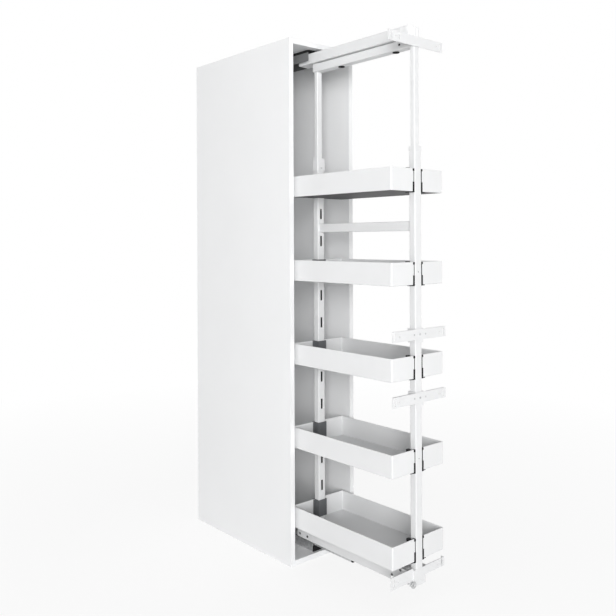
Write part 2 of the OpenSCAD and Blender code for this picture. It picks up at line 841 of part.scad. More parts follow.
// Clamp round the front upright, split at the back, with ears behind the plate
module bracket_clamp(z) {
    y0 = door_y + plate_t;
    y1 = front_up_back + clamp_play + clamp_wall;
    w2 = upright_w / 2 + clamp_play + clamp_wall;
    u2 = upright_w / 2 + clamp_play;
    color("#e4e5e6") difference() {
        union() {
            block(-w2, w2, y0, y1, z - clamp_h / 2, z + clamp_h / 2);
            block(-w2 - 12, w2 + 12, y0, y0 + 2, z - 6 + clamp_drop, z + 6 + clamp_drop);
        }
        block(-u2, u2, front_up_y - clamp_play, front_up_back + clamp_play, z - clamp_h, z + clamp_h);
        block(-1.5, 1.5, front_up_back, y1 + 1, z - clamp_h, z + clamp_h);
        bracket_holes(z + clamp_drop);
    }
}

// The middle hole takes the height screw and the outer two take rivets
module bracket_holes(z) {
    for (x = [-plate_rivet_x, 0, plate_rivet_x])
        translate([x, door_y - 1, z]) rotate([-90, 0, 0]) cylinder(r = 2, h = 8);
}

module upper_bracket_clamp() {
    bracket_clamp(upper_bracket_z - clamp_drop);
}

module lower_bracket_clamp() {
    bracket_clamp(lower_bracket_z - clamp_drop);
}

module middle_plate(z) {
    color("#ebecec") difference() {
        union() {
            block(-plate_w / 2, plate_w / 2, door_y, door_y + plate_t, z - plate_h / 2, z + plate_h / 2);
            for (s = [-1, 1], t = [-1, 1])
                block(s * rim_x - rim_l / 2, s * rim_x + rim_l / 2, door_y, door_y + plate_t + rim_h,
                      z + t * (plate_h / 2 - 1) - 1, z + t * (plate_h / 2 - 1) + 1);
        }
        door_slots(door_y, z);
        bracket_holes(z);
    }
}

module upper_bracket_plate() {
    middle_plate(upper_bracket_z);
}

module lower_bracket_plate() {
    middle_plate(lower_bracket_z);
}

// Height screw with a socket, and a rivet on each side of it
module bracket_screw(z) {
    color("#8d9092") {
        translate([0, door_y, z]) rotate([-90, 0, 0]) difference() {
            union() {
                translate([0, 0, -1.5]) cylinder(r = 3.6, h = 1.5);
                cylinder(r = 2, h = front_up_y - door_y - 0.1);
            }
            translate([0, 0, -1.5 - tiny]) cylinder(r = 1.4, h = 1.6);
        }
        for (s = [-1, 1]) translate([s * plate_rivet_x, door_y, z]) rotate([-90, 0, 0]) {
            translate([0, 0, -0.8]) cylinder(r = 3, h = 0.8);
            cylinder(r = 2, h = plate_t + 2);
            translate([0, 0, plate_t + 2]) cylinder(r = 3, h = 0.8);
        }
    }
}

module upper_bracket_screw() {
    bracket_screw(upper_bracket_z);
}

module lower_bracket_screw() {
    bracket_screw(lower_bracket_z);
}

// ---- Trays ----

module tray_outline(inset) {
    translate([0, tray_y + tray_l / 2])
        round_rect(tray_w - 2 * inset, tray_l - 2 * inset, max(tray_r - inset, 0.4));
}

// Folded sheet tray with a hemmed rim, notched round both uprights
module tray(k) {
    z = tray_zs[k - 1];
    n2 = front_notch_w2;
    wall_y = tray_y + 2 * tray_t;
    color("#f2f3f4") translate([0, 0, z]) difference() {
        linear_extrude(tray_h) tray_outline(0);
        translate([0, 0, tray_t]) linear_extrude(tray_h - hem_h - tray_t) tray_outline(tray_t);
        translate([0, 0, tray_h - hem_h - tiny]) linear_extrude(hem_h + 1) tray_outline(2 * tray_t);
        block(-n2, n2, wall_y, front_up_back + 8.4, -1, tray_h + 1);
        block(-n2, n2, tray_y - 1, wall_y + tiny, -1, notch_low);
        block(-n2, n2, tray_y - 1, wall_y + tiny, notch_high, tray_h + 1);
        block(-front_gap_w2, front_gap_w2, tray_y - 1, wall_y + tiny, -1, tray_h + 1);
        block(-upright_w / 2 - 0.6, upright_w / 2 + 0.6, rear_up_y - 0.6, tray_back + 1, -1, tray_h + 1);
        block(-rear_notch_w2, rear_notch_w2, tray_back - 3 * tray_t, tray_back + 1, rear_clip_z, tray_h + 1);
    }
}

// Saddle round the front upright that grips the front wall, with a release knob on its left
module front_clip(k) {
    z = tray_zs[k - 1];
    w2 = front_notch_w2 - 0.2;
    u2 = upright_w / 2 + clip_play;
    gap_w2 = front_gap_w2 - 0.2;
    wall_y = tray_y + 2 * tray_t + 0.2;
    color("#1b1b1b") translate([0, 0, z]) difference() {
        union() {
            block(-w2, w2, wall_y, front_up_back + 8, -foot_h - 0.2, saddle_top);
            block(-w2, w2, tray_y - 1, wall_y + 1, -foot_h - 0.2, notch_low - 0.4);
            block(-w2, w2, tray_y - 1, wall_y + 1, notch_high + 0.4, clip_top);
            block(-gap_w2, gap_w2, tray_y + 0.5, wall_y + 1, notch_low - 1, notch_high + 1);
            block(-flange_w2, flange_w2, wall_y, wall_y + 5, tray_t + 0.2, saddle_top);
            block(-flange_w2 + 2, flange_w2 - 2, tray_y + 2, tray_y + 14, -foot_h - 0.2, -0.2);
            block(-knob_x - knob_w, -knob_x, wall_y, wall_y + 8, saddle_top - 6, clip_top);
            block(-knob_x - 1, -u2, wall_y, wall_y + 3, saddle_top - 6, clip_top);
        }
        block(-u2, u2, tray_y - 5, front_up_back + clip_play, -foot_h - 2, tray_h + 5);
    }
}

// Block over the notch in the rear wall, with a hook that drops into a slot
module rear_clip(k) {
    z = tray_zs[k - 1];
    w2 = upright_w / 2 + clip_play + rear_clip_wall;
    u2 = upright_w / 2 + clip_play;
    h2 = slot_w / 2 - 0.4;
    tongue_z = first_slot_z - tray_base_z + 0.4;
    wall_y = tray_back - 2 * tray_t - 0.2;
    color("#4d5052") translate([0, 0, z]) {
        difference() {
            union() {
                block(-w2, w2, rear_up_y - 4, rear_clip_back, rear_clip_z, rear_clip_top);
                block(-rear_flange_w2, rear_flange_w2, wall_y - rear_flange_t, wall_y, rear_clip_z,
                      rear_clip_top);
            }
            block(-u2, u2, rear_up_y - clip_play, rear_up_back + clip_play,
                  rear_clip_z - 1, rear_clip_top + 1);
            for (s = [-1, 1])
                block(s > 0 ? rear_notch_w2 - 0.2 : -w2 - 1, s > 0 ? w2 + 1 : -rear_notch_w2 + 0.2,
                      wall_y, tray_back + 0.2, rear_clip_z - 1, rear_clip_top + 1);
        }
        block(-h2, h2, rear_up_y - 3, rear_up_y + tube_t + 3, tongue_z, tongue_z + tongue_h);
        block(-h2, h2, rear_up_y + tube_t + 0.4, rear_up_y + tube_t + 3, tongue_z - 7, tongue_z + 1);
    }
}

left_side_panel();
right_side_panel();
top_panel();
bottom_panel();
back_panel();
panel_dowels();
top_guide_channel();
guide_roller_pins();
guide_roller(-1, roller_front_y);  // guide_roller_front_left
guide_roller(1, roller_front_y);  // guide_roller_front_right
guide_roller(-1, roller_rear_y);  // guide_roller_rear_left
guide_roller(1, roller_rear_y);  // guide_roller_rear_right
bottom_fixed_rail();
bottom_rail_cap();
rail_screws();
outer_ball_cages();
outer_balls();
bottom_middle_rail();
middle_rail_stop();
inner_ball_cages();
inner_balls();
bottom_pull_out_rail();
bottom_bracket_casting();
bottom_door_plate();
tilt_adjuster();
front_lower_upright();
rear_lower_upright();
front_upper_upright();
rear_upper_upright();
front_collar();
rear_collar();
cross_brace();
frame_top_tube();
top_pull_out_rail();
top_end_block();
top_door_plate();
top_tube_buffers();
frame_screws();
collar_screws();
upper_bracket_clamp();
upper_bracket_plate();
upper_bracket_screw();
lower_bracket_clamp();
lower_bracket_plate();
lower_bracket_screw();
tray(1);  // tray_1
tray(2);  // tray_2
tray(3);  // tray_3
tray(4);  // tray_4
tray(5);  // tray_5
front_clip(1);  // front_clip_1
front_clip(2);  // front_clip_2
front_clip(3);  // front_clip_3
front_clip(4);  // front_clip_4
front_clip(5);  // front_clip_5
rear_clip(1);  // rear_clip_1
rear_clip(2);  // rear_clip_2
rear_clip(3);  // rear_clip_3
rear_clip(4);  // rear_clip_4
rear_clip(5);  // rear_clip_5
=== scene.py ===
"""Pull out larder unit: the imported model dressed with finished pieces, materials, light and camera.

Everything is in metres in the model's own frame: +Z up, +Y to the back of the carcass.
"""

import json
import math

import bpy
from mathutils import Matrix, Vector


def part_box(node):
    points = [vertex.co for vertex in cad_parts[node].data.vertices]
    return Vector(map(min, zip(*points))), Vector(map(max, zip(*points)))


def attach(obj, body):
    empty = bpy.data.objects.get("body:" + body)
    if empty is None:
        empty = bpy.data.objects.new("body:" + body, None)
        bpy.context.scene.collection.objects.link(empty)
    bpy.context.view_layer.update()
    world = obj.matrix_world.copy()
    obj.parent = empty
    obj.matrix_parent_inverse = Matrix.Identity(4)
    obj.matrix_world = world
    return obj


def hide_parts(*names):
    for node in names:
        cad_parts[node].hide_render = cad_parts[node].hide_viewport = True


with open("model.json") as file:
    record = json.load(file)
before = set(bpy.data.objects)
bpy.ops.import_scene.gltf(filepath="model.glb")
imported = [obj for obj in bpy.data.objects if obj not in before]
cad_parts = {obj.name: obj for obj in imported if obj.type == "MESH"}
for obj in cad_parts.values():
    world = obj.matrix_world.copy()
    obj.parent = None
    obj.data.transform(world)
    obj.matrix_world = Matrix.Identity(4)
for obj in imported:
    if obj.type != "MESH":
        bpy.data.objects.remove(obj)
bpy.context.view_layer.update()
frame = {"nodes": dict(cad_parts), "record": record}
NODES = frame["nodes"]

MM = 0.001
TRAY_COUNT = 5

# Sheet of the trays and tubes
WALL = 1.5 * MM
TRAY_CORNER = 4.0 * MM
TRAY_FOLD = 2.6 * MM
HEM = 7.0 * MM

# Notches of a tray: half widths, and heights above its underside
FRONT_NOTCH = 22.6 * MM
FRONT_GAP = 17.5 * MM
FRONT_NOTCH_DEPTH = 30.4 * MM
LIP_LOW = 30.0 * MM
LIP_HIGH = 63.0 * MM
REAR_NOTCH = 15.6 * MM
REAR_NOTCH_DEPTH = 22.6 * MM
REAR_WALL_NOTCH = 16.8 * MM
REAR_WALL_LOW = 14.0 * MM

# Rounding of folded and rolled edges, and how far a cutting block runs past what it cuts
RIM_ROUND = 0.9 * MM
FOLD_ROUND = 0.3 * MM
PAST = 5.0 * MM

# Front clip: lips on the edges of the notch, and the ribbed release knob
CLIP_LIP_IN = 0.4 * MM
CLIP_LIP_OUT = 1.5 * MM
CLIP_LIP_PROUD = 0.7 * MM
CLIP_LIP_SUNK = 0.8 * MM
KNOB_PLACE = (2.0 * MM, 11.4 * MM, -1.0 * MM)
KNOB_RADIUS = 7.5 * MM
KNOB_HEIGHT = 7.0 * MM
KNOB_RIBS = 5
KNOB_RIB_PITCH = 2.12 * MM
KNOB_RIB_GAP = 0.8 * MM
KNOB_RIB_DEPTH = 0.7 * MM
FRONT_CLIP_ROUND = 0.22 * MM

# Rear clip: shallow ribs down both sides of its flange
REAR_RIBS = 6
REAR_RIB_FIRST = 6.0 * MM
REAR_RIB_PITCH = 8.4 * MM
REAR_RIB_HEIGHT = 3.0 * MM
REAR_RIB_DEPTH = 1.0 * MM
REAR_RIB_FROM = 19.2 * MM
REAR_RIB_TO = 24.2 * MM
REAR_CLIP_ROUND = 0.3 * MM

# Rolled grooves of the rails
GROOVE_DEPTH = 0.5 * MM

# Bands of colour: the panels' edging with its glue line, and the painted shadow along the top of the
# guide channel
EDGING = 1.0 * MM
GLUE_LINE = 0.15 * MM
PAINTED_SHADOW_HEIGHT = 9.0 * MM

# The photograph's camera, solved from the carcass and the trays, in pixels and radians
PHOTO_SIDE = 616.0
PHOTO_FOCAL = 733.69
PHOTO_HORIZON = 240.37
PHOTO_TURN = 0.7165
PHOTO_ROLL = -0.0040
PHOTO_PLACE = (-1.74293, -2.2132, 1.11277)
SENSOR = 36.0


# ---------------------------------------------------------------- shader maths


class Value:
    """A socket in a shader. Arithmetic on it adds Math nodes."""

    def __init__(self, finish, socket):
        self.finish = finish
        self.socket = socket

    def _math(self, operation, a, b):
        return self.finish.node("ShaderNodeMath", {"operation": operation}, {0: a, 1: b})

    def __add__(self, other):
        return self._math("ADD", self, other)

    def __radd__(self, other):
        return self._math("ADD", other, self)

    def __sub__(self, other):
        return self._math("SUBTRACT", self, other)

    def __rsub__(self, other):
        return self._math("SUBTRACT", other, self)

    def __mul__(self, other):
        return self._math("MULTIPLY", self, other)

    def __rmul__(self, other):
        return self._math("MULTIPLY", other, self)

    def below(self, other):
        """1 where this is less than other, else 0."""
        return self._math("LESS_THAN", self, other)

    def most(self, other):
        """The larger of the two."""
        return self._math("MAXIMUM", self, other)

    def size(self):
        """This without its sign."""
        return self._math("ABSOLUTE", self, 0.0)


class Finish:
    """A material round one Principled shader. Constants go on its own sockets."""

    def __init__(self, name, roughness, metallic=0.0, ior=1.45, gloss=0.5):
        self.material = bpy.data.materials.new(name)
        self.material.use_nodes = True
        self.tree = self.material.node_tree
        self.shader = self.tree.nodes["Principled BSDF"]
        self.shader.inputs["Roughness"].default_value = roughness
        self.shader.inputs["Metallic"].default_value = metallic
        self.shader.inputs["IOR"].default_value = ior
        self.shader.inputs["Specular IOR Level"].default_value = gloss
        self.place = self.node("ShaderNodeTexCoord", output="Object")

    def node(self, kind, settings=None, inputs=None, output=0):
        made = self.tree.nodes.new(kind)
        for key, value in (settings or {}).items():
            if key == "stops":
                self._stops(made.color_ramp, value)
            else:
                setattr(made, key, value)
        for key, value in (inputs or {}).items():
            self.link(value, made.inputs[key])
        return Value(self, made.outputs[output])

    def _stops(self, ramp, stops):
        while len(ramp.elements) < len(stops):
            ramp.elements.new(0.5)
        for element, (position, level) in zip(ramp.elements, stops):
            element.position = position
            element.color = (level, level, level, 1.0)

    def link(self, value, socket):
        if isinstance(value, Value):
            self.tree.links.new(value.socket, socket)
        else:
            socket.default_value = value

    def feed(self, name, value):
        self.link(value, self.shader.inputs[name])

    def along(self, axis):
        """One coordinate of the place on the object."""
        made = self.tree.nodes.new("ShaderNodeSeparateXYZ")
        self.link(self.place, made.inputs[0])
        return Value(self, made.outputs[axis])

    def stretched(self, scale):
        """The place on the object with each axis stretched, for grain that runs one way."""
        return self.node("ShaderNodeMapping", {}, {"Vector": self.place, "Scale": scale})

    def noise(self, scale, detail=2.0, place=None):
        return self.node(
            "ShaderNodeTexNoise", {}, {"Vector": place or self.place, "Scale": scale, "Detail": detail}
        )

    def ramp(self, value, low, high):
        return self.node("ShaderNodeValToRGB", {"stops": [(low, 0.0), (high, 1.0)]}, {"Fac": value})

    def mix(self, factor, a, b):
        made = self.tree.nodes.new("ShaderNodeMix")
        made.data_type = "RGBA"
        self.link(factor, made.inputs["Factor"])
        self.link(a, made.inputs["A"])
        self.link(b, made.inputs["B"])
        return Value(self, made.outputs["Result"])

    def bump(self, height, distance, strength):
        return self.node(
            "ShaderNodeBump", {}, {"Height": height, "Distance": distance, "Strength": strength}
        )

    def clouded(self, colour):
        """The colour with the faint cloud of a powder coat."""
        return self.mix(self.ramp(self.noise(9.0), 0.3, 0.7), shade(colour, 0.98), colour)


def rgb(r, g=None, b=None):
    return (r, r if g is None else g, r if b is None else b, 1.0)


def shade(colour, factor):
    """The colour made lighter or darker."""
    return tuple(min(1.0, c * factor) for c in colour[:3]) + (1.0,)


def board_face(name, colour, band):
    """Melamine faced board: a fine pearl grain, a very faint cloud and, in front of the plane y = band,
    the paler edging with its glue line."""
    f = Finish(name, 0.42)
    cloud = f.noise(3.5, 3.0)
    pearl = f.noise(900.0)
    y = f.along("Y")
    edging = y.below(band)
    glue = y.below(band + GLUE_LINE) - edging
    face = f.mix(f.ramp(cloud, 0.35, 0.65), shade(colour, 0.985), colour)
    edged = f.mix(edging, face, shade(colour, 1.01))
    f.feed("Base Color", f.mix(glue, edged, shade(colour, 0.8)))
    f.feed("Roughness", 0.36 + 0.12 * f.noise(160.0, 3.0))
    f.feed("Normal", f.bump(pearl, 0.00003, 0.6))
    return f.material


def powder_coat(name, colour, peel=650.0, depth=0.00004):
    """Powder coat on steel: an even orange peel and a slightly uneven sheen."""
    f = Finish(name, 0.34)
    f.feed("Base Color", f.clouded(colour))
    f.feed("Roughness", 0.3 + 0.10 * f.noise(240.0))
    f.feed("Normal", f.bump(f.noise(peel, 1.5), depth, 0.7))
    return f.material


def tray_coat(name, colour, underside):
    """Tray powder coat over the sheet, with painted shade: the flat underside coloured near black."""
    f = Finish(name, 0.34)
    facing = f.node("ShaderNodeTexCoord", output="Normal")
    below = f.node("ShaderNodeSeparateXYZ", {}, {"Vector": facing}, "Z").below(-0.95)
    # painted shade on the downward faces: a near-black colour with faint noise
    painted_underside_shade = f.mix(f.noise(30.0, 4.0), underside, shade(underside, 1.4))
    f.feed("Base Color", f.mix(below, f.clouded(colour), painted_underside_shade))
    f.feed("Roughness", 0.3 + 0.10 * f.noise(240.0) + 0.25 * below)
    f.feed("Normal", f.bump(f.noise(520.0, 1.5), 0.00004, 0.7))
    return f.material


def tube_coat(name, colour, node, axes):
    """Powder coat on a tube, with painted shade on its inside. The axes are those across it."""
    f = Finish(name, 0.34)
    low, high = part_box(node)
    inside = 1.0
    for axis in axes:
        k = "XYZ".index(axis)
        middle = 0.5 * (low[k] + high[k])
        reach = 0.5 * (high[k] - low[k]) - WALL + 0.2 * MM
        inside = (f.along(axis) - middle).size().below(reach) * inside
    # painted shade: the hollow inside of the tube coloured near black
    painted_hollow_shade = f.mix(f.noise(40.0, 4.0), rgb(0.02), rgb(0.05))
    f.feed("Base Color", f.mix(inside, f.clouded(colour), painted_hollow_shade))
    f.feed("Roughness", 0.3 + 0.10 * f.noise(240.0) + 0.3 * inside)
    f.feed("Normal", f.bump(f.noise(650.0, 1.5), 0.00004, 0.7))
    return f.material


def moulded(name, colour, roughness=0.5, gloss=0.5):
    """Spark-eroded grain of a moulded plastic part."""
    f = Finish(name, roughness, ior=1.5, gloss=gloss)
    grains = f.node(
        "ShaderNodeTexVoronoi", {"feature": "F1"}, {"Vector": f.place, "Scale": 1500.0}, "Distance"
    )
    flow = f.noise(25.0, 3.0, f.stretched((1.0, 1.0, 0.25)))
    f.feed("Base Color", f.mix(f.ramp(flow, 0.35, 0.7), colour, shade(colour, 1.25)))
    f.feed("Roughness", (roughness - 0.06) + 0.14 * f.noise(300.0))
    f.feed("Normal", f.bump(grains, 0.00005, 0.6))
    return f.material


def zinc_coat(name, colour, roughness=0.38):
    """Galvanised sheet: faint spangle, rolling streaks along the rail."""
    f = Finish(name, roughness, metallic=0.9)
    cells = f.node(
        "ShaderNodeTexVoronoi", {"feature": "F1"}, {"Vector": f.place, "Scale": 140.0}, "Color"
    )
    tone = f.node("ShaderNodeRGBToBW", {}, {"Color": cells})
    streak = f.noise(420.0, 3.0, f.stretched((1.0, 0.03, 1.0)))
    level = 0.6 * tone + 0.4 * streak
    f.feed("Base Color", f.mix(f.ramp(level, 0.2, 0.8), shade(colour, 0.82), shade(colour, 1.15)))
    f.feed("Roughness", (roughness - 0.08) + 0.2 * level)
    f.feed("Normal", f.bump(streak, 0.00002, 0.5))
    return f.material


def guide_zinc(name, colour, node):
    """Zinc of the top guide channel, with painted shadow: a near-black, non-metallic band along its top,
    under the top panel.
    """
    f = Finish(name, 0.45, metallic=0.6)
    # painted shadow: the gap under the top panel, coloured near black down from the channel's top
    band = (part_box(node)[1][2] - f.along("Z")).below(PAINTED_SHADOW_HEIGHT)
    streak = f.noise(420.0, 3.0, f.stretched((1.0, 0.03, 1.0)))
    sheet = f.mix(streak, shade(colour, 0.82), shade(colour, 1.15))
    f.feed("Base Color", f.mix(band, sheet, rgb(0.012)))
    f.feed("Roughness", 0.38 + 0.2 * streak)
    f.feed("Metallic", 0.6 - 0.6 * band)
    f.feed("Normal", f.bump(streak, 0.00002, 0.5))
    return f.material


def bright_steel(name, colour):
    """Drawn steel with fine streaks along it."""
    f = Finish(name, 0.24, metallic=1.0)
    streak = f.noise(900.0, 2.0, f.stretched((1.0, 0.05, 1.0)))
    f.feed("Base Color", f.mix(streak, shade(colour, 0.92), shade(colour, 1.06)))
    f.feed("Roughness", 0.19 + 0.12 * streak)
    f.feed("Normal", f.bump(streak, 0.00001, 0.4))
    return f.material


def rubbery(name, colour):
    """Matt rubber with a little dust."""
    f = Finish(name, 0.78, ior=1.5, gloss=0.2)
    dust = f.noise(60.0, 4.0)
    f.feed("Base Color", f.mix(f.ramp(dust, 0.5, 0.9), colour, shade(colour, 1.8)))
    f.feed("Roughness", 0.7 + 0.16 * f.noise(400.0))
    f.feed("Normal", f.bump(f.noise(1300.0), 0.00006, 0.6))
    return f.material


def beech_wood(name):
    """Beech with its grain and flecks along X."""
    f = Finish(name, 0.6)
    grain = f.noise(160.0, 4.0, f.stretched((0.05, 1.0, 1.0)))
    fleck = f.noise(700.0, 2.0, f.stretched((0.12, 1.0, 1.0)))
    level = 0.7 * grain + 0.3 * fleck
    f.feed("Base Color", f.mix(f.ramp(level, 0.3, 0.7), rgb(0.62, 0.44, 0.26), rgb(0.78, 0.6, 0.4)))
    f.feed("Normal", f.bump(level, 0.00008, 0.6))
    return f.material


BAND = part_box("left_side_panel")[0][1] + EDGING
FRAME_WHITE = rgb(0.77, 0.775, 0.78)

FINISHES = {
    "white_board": board_face("white board face", rgb(0.87, 0.875, 0.88), BAND),
    "back_board": board_face("back board face", rgb(0.84, 0.845, 0.85), BAND),
    "beech": beech_wood("beech dowel"),
    "dark_zinc": zinc_coat("dark zinc", rgb(0.16, 0.163, 0.168), roughness=0.5),
    "zinc": zinc_coat("zinc plate", rgb(0.60, 0.605, 0.61)),
    "frame_white": powder_coat("frame powder coat", FRAME_WHITE),
    # the tray finish's second colour is the painted shade of its underside
    "tray_white": tray_coat("tray powder coat", rgb(0.79, 0.795, 0.80), rgb(0.06, 0.061, 0.063)),
    "cast_white": powder_coat("casting powder coat", rgb(0.76, 0.765, 0.77), peel=380.0, depth=0.00008),
    "light_plastic": moulded("white moulding", rgb(0.76, 0.765, 0.77)),
    "roller_plastic": moulded("roller nylon", rgb(0.74, 0.74, 0.72), roughness=0.4),
    "black_plastic": moulded("black moulding", rgb(0.008, 0.008, 0.009), gloss=0.15),
    "grey_plastic": moulded("grey moulding", rgb(0.10, 0.105, 0.11)),
    "black_rubber": rubbery("black rubber", rgb(0.012, 0.012, 0.012)),
    "bright_steel": bright_steel("bright steel", rgb(0.62, 0.63, 0.64)),
}

# Tubes whose inside is painted dark as shade, which shows through slots and open ends
TUBES = {
    "front_lower_upright": "XY", "rear_lower_upright": "XY", "front_upper_upright": "XY",
    "rear_upper_upright": "XY", "frame_top_tube": "XZ", "cross_brace": "XZ",
}
GUIDE = "top_guide_channel"
OWN_FINISH = {node: tube_coat(node + " coat", FRAME_WHITE, node, axes) for node, axes in TUBES.items()}
# the guide channel's finish carries a painted shadow band along its top
OWN_FINISH[GUIDE] = guide_zinc("guide channel zinc", rgb(0.30, 0.305, 0.31), GUIDE)

SLOT = {s["node"]: s["material_slot"] for s in frame["record"]["subparts"]}
BODY = {n: b for b, names in frame["record"]["behaviour"]["bodies"].items() for n in names}


def finish_of(node):
    return OWN_FINISH.get(node) or FINISHES[SLOT[node]]


for name, node in NODES.items():
    node.data.materials.clear()
    node.data.materials.append(finish_of(name))


# ---------------------------------------------------------------- modelling helpers


def only(obj):
    """Leaves obj alone selected and active, in object mode."""
    if bpy.context.object and bpy.context.object.mode != "OBJECT":
        bpy.ops.object.mode_set(mode="OBJECT")
    bpy.ops.object.select_all(action="DESELECT")
    obj.select_set(True)
    bpy.context.view_layer.objects.active = obj


def edit(obj, mode):
    """Edit mode on obj alone, with nothing selected."""
    only(obj)
    bpy.ops.object.mode_set(mode="EDIT")
    bpy.ops.mesh.select_mode(type=mode)
    bpy.ops.mesh.select_all(action="DESELECT")


def settle(obj):
    """Back to object mode, with the object's place moved into its mesh."""
    only(obj)
    bpy.ops.object.transform_apply(location=True, rotation=True, scale=True)


def keep(obj, name, node):
    """Finishes a piece: its name, its material, the body it rides on and the node it stands for."""
    obj.name = name
    obj.data.name = name
    obj.data.materials.clear()
    obj.data.materials.append(finish_of(node))
    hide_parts(node)
    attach(obj, BODY[node])
    return obj


def pick(obj, mode, test):
    """Selects the vertices, edges or faces that test accepts, and leaves obj in edit mode."""
    edit(obj, mode)
    bpy.ops.object.mode_set(mode="OBJECT")
    mesh = obj.data
    for item in {"VERT": mesh.vertices, "EDGE": mesh.edges, "FACE": mesh.polygons}[mode]:
        item.select = bool(test(item))
    bpy.ops.object.mode_set(mode="EDIT")


def ends(obj, edge):
    """The places of the edge's two vertices."""
    return [obj.data.vertices[v].co for v in edge.vertices]


def near(a, b):
    return abs(a - b) < 0.01 * MM


def block(low, high):
    """A plain box between two corners, to cut with or to build up from."""
    middle = [0.5 * (a + b) for a, b in zip(low, high)]
    bpy.ops.object.select_all(action="DESELECT")
    bpy.ops.mesh.primitive_cube_add(size=1.0, location=middle)
    obj = bpy.context.object
    obj.scale = [b - a for a, b in zip(low, high)]
    settle(obj)
    return obj


def apply(obj, kind, **settings):
    """Adds a modifier with these settings and applies it."""
    only(obj)
    made = obj.modifiers.new(kind.lower(), kind)
    for key, value in settings.items():
        setattr(made, key, value)
    bpy.ops.object.modifier_apply(modifier=made.name)


def combine(obj, tool, operation):
    """Cuts the tool out of obj or joins it on, and throws the tool away."""
    apply(obj, "BOOLEAN", operation=operation, solver="EXACT", object=tool)
    mesh = tool.data
    bpy.data.objects.remove(tool)
    bpy.data.meshes.remove(mesh)


def cut(obj, low, high):
    combine(obj, block(low, high), "DIFFERENCE")


def join(obj, low, high):
    combine(obj, block(low, high), "UNION")


def rod(place, radius, length):
    """Upright round bar, centred on its place."""
    bpy.ops.object.select_all(action="DESELECT")
    bpy.ops.mesh.primitive_cylinder_add(vertices=32, radius=radius, depth=length, location=place)
    obj = bpy.context.object
    settle(obj)
    return obj


def smooth(obj):
    """Smooth shading over the eased edges that leaves the broad faces flat."""
    only(obj)
    bpy.ops.object.shade_smooth_by_angle(angle=math.radians(40.0))
    apply(obj, "WEIGHTED_NORMAL", mode="FACE_AREA", weight=100, keep_sharp=True)


def ease(obj, width, segments=2, angle=32.0):
    """Rounds every edge sharper than the angle."""
    apply(
        obj, "BEVEL", width=width, segments=segments, limit_method="ANGLE",
        angle_limit=math.radians(angle), use_clamp_overlap=True,
    )
    smooth(obj)


def taken(node):
    """A free copy of the node's shape, with its loose triangles merged into whole faces."""
    obj = NODES[node].copy()
    obj.data = NODES[node].data.copy()
    obj.parent = None
    obj.hide_render = False
    for key in list(obj.keys()):
        del obj[key]
    bpy.context.scene.collection.objects.link(obj)
    edit(obj, "VERT")
    bpy.ops.mesh.select_all(action="SELECT")
    bpy.ops.mesh.remove_doubles(threshold=0.00001)
    bpy.ops.mesh.dissolve_limited(angle_limit=math.radians(1.0))
    only(obj)
    return obj


def eased(node, width):
    """The node's own shape with its sharp edges eased, as folded, cast and moulded parts have them."""
    obj = taken(node)
    ease(obj, width)
    keep(obj, node + "_finished", node)


def another(obj, name, node, shift):
    """A copy of a finished piece, with its own mesh, moved by shift."""
    twin = obj.copy()
    twin.data = obj.data.copy()
    for key in list(twin.keys()):
        del twin[key]
    bpy.context.scene.collection.objects.link(twin)
    twin.location = shift
    settle(twin)
    keep(twin, name, node)


def one_per_tray(made, kind, ending):
    """Keeps the highest tray's piece, and a copy of it for each of the other trays."""
    top = "%s_1" % kind
    first = keep(made, top + ending, top)
    for k in range(2, TRAY_COUNT + 1):
        node = "%s_%d" % (kind, k)
        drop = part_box(node)[0][2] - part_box(top)[0][2]
        another(first, node + ending, node, (0.0, 0.0, drop))


# ---------------------------------------------------------------- trays


def ring_in(obj, step_in, step_down):
    """Extrudes the selected rim, draws it in by step_in on every side and lowers it."""
    bpy.ops.mesh.extrude_edges_move()
    bpy.ops.object.mode_set(mode="OBJECT")
    chosen = [v.co for v in obj.data.vertices if v.select]
    spans = [max(c[k] for c in chosen) - min(c[k] for c in chosen) for k in range(2)]
    middle = [0.5 * (max(c[k] for c in chosen) + min(c[k] for c in chosen)) for k in range(2)]
    bpy.ops.object.mode_set(mode="EDIT")
    factors = [(span - 2.0 * step_in) / span for span in spans]
    bpy.ops.transform.resize(value=(factors[0], factors[1], 1.0), center_override=(*middle, 0.0))
    bpy.ops.transform.translate(value=(0.0, 0.0, -step_down))


